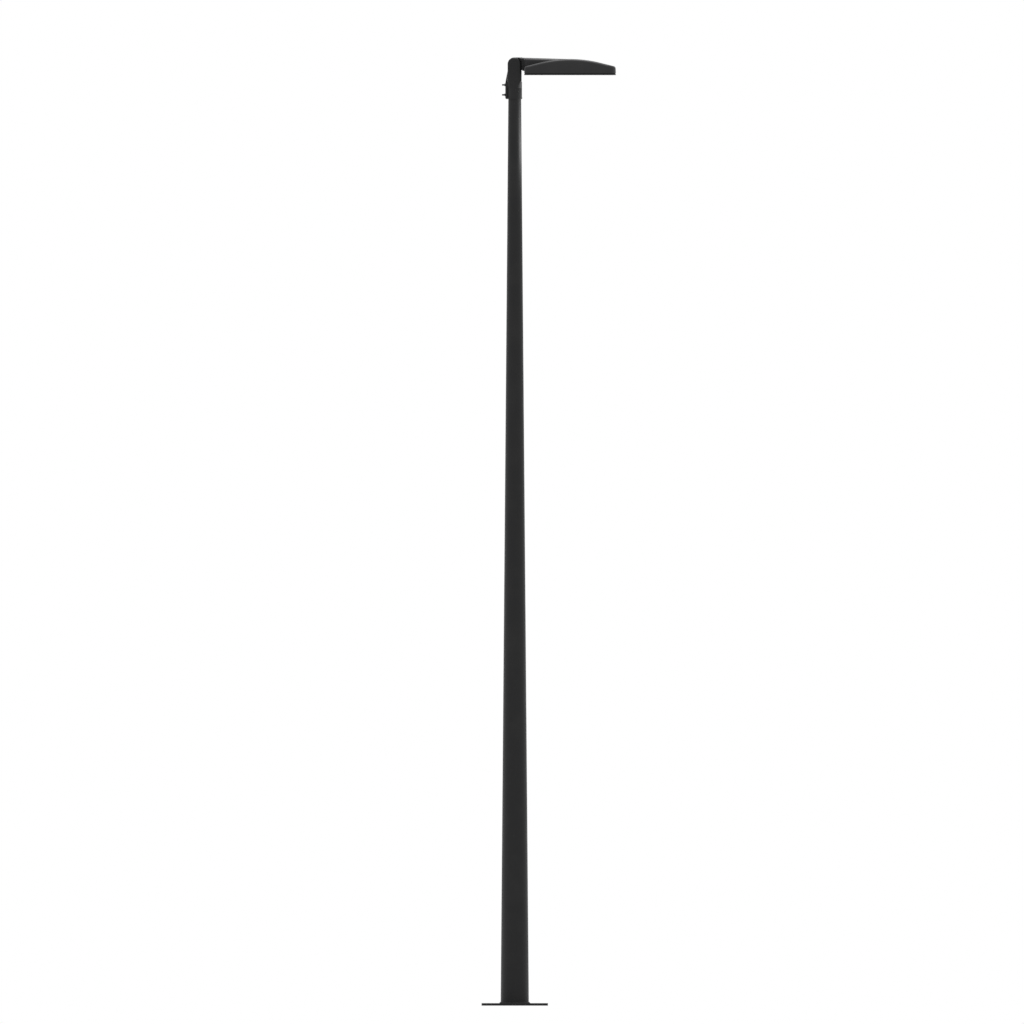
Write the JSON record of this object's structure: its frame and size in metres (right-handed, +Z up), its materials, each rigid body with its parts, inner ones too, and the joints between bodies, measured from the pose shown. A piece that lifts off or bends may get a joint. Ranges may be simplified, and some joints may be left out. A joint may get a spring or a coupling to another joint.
{
  "type": "tapered-pole area light",
  "caption": "Tapered round steel pole on a square base plate, carrying one arch-topped LED area luminaire on an adjustable slip-fitter knuckle.",
  "frame": {"origin": "centre of the base plate's underside, which bolts down to a foundation", "axes": "+Z up along the pole, +X from the pole towards the luminaire's far end, +Y to the side with the handhole"},
  "size_m": [0.6475, 0.32, 4.5705],
  "materials": {
    "pole_steel": "satin",
    "casting": "satin",
    "seal_rubber": "matte",
    "fastener": "satin",
    "lens_clear": "gloss",
    "board_white": "matte"
  },
  "bodies": {
    "pole": {"base_plate": "pole_steel", "base_weld": "pole_steel", "pole_shaft": "pole_steel", "handhole_frame": "pole_steel", "handhole_seal": "seal_rubber", "handhole_cover": "pole_steel", "cover_screw_upper": "fastener", "cover_screw_lower": "fastener"},
    "slip_fitter": {"slip_fitter": "casting", "set_screw_upper": "fastener", "set_screw_lower": "fastener", "jam_nut_upper": "fastener", "jam_nut_lower": "fastener", "knuckle_washer": "fastener", "knuckle_bolt": "fastener"},
    "luminaire": {"knuckle_arm": "casting", "arm_bolts": "fastener", "housing": "casting", "frame_seal": "seal_rubber", "led_board_left": "board_white", "led_board_right": "board_white", "lens_left_rear": "lens_clear", "lens_left_front": "lens_clear", "lens_right_rear": "lens_clear", "lens_right_front": "lens_clear", "bottom_frame": "casting", "frame_screws": "fastener", "driver_door": "casting", "door_screws": "fastener"}
  },
  "joints": [
    {"name": "head_pan", "type": "hinge", "parent": "pole", "child": "slip_fitter", "pos_m": [0, 0, 4.435], "axis": [0, 0, 1], "range_deg": [-180, 180]},
    {"name": "head_tilt", "type": "hinge", "parent": "slip_fitter", "child": "luminaire", "pos_m": [-0.002, 0, 4.538], "axis": [0, -1, 0], "range_deg": [0, 90]}
  ]
}
